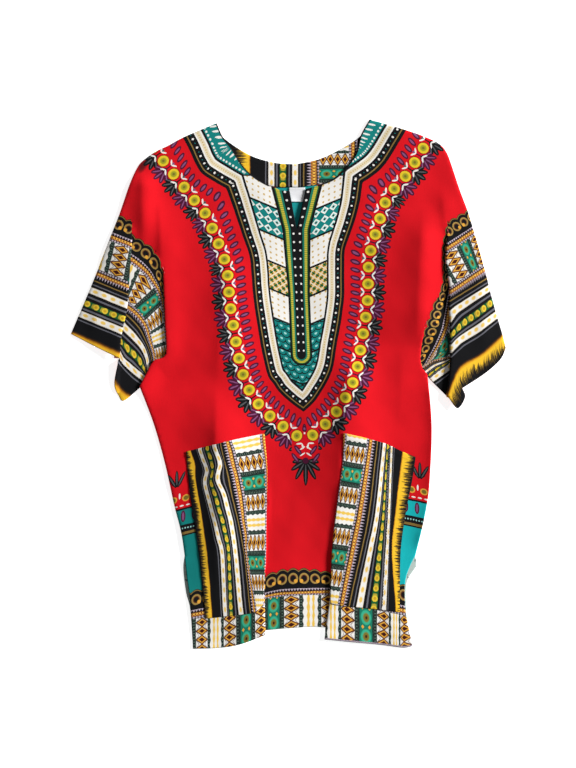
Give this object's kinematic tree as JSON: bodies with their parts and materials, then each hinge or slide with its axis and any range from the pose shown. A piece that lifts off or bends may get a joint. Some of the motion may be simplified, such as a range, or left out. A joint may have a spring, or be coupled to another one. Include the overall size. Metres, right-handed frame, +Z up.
{
  "type": "dashiki shirt",
  "caption": "Short-sleeved cotton tunic laid flat, with a printed yoke round a slit neck, border-print cuffs and hem, and patch pockets.",
  "frame": {"origin": "on the surface the garment rests on, under the middle of its length and width", "axes": "+Z up out of the front, +Y towards the neck, +X towards the viewer's right when looking down on the front"},
  "size_m": [0.6254, 0.7612, 0.0148],
  "materials": {
    "front_cotton": "red printed cotton, matt with a faint sheen",
    "back_cotton": "red printed cotton, wrong side paler",
    "pocket_cotton": "border-printed cotton, matt",
    "facing_cotton": "border-printed cotton, matt",
    "label_tape": "white woven tape, satin, blank"
  },
  "bodies": {
    "root": {"front": "front_cotton", "back": "back_cotton", "pocket_left": "pocket_cotton", "pocket_right": "pocket_cotton", "back_neck_facing": "facing_cotton", "neck_label": "label_tape"}
  },
  "joints": []
}
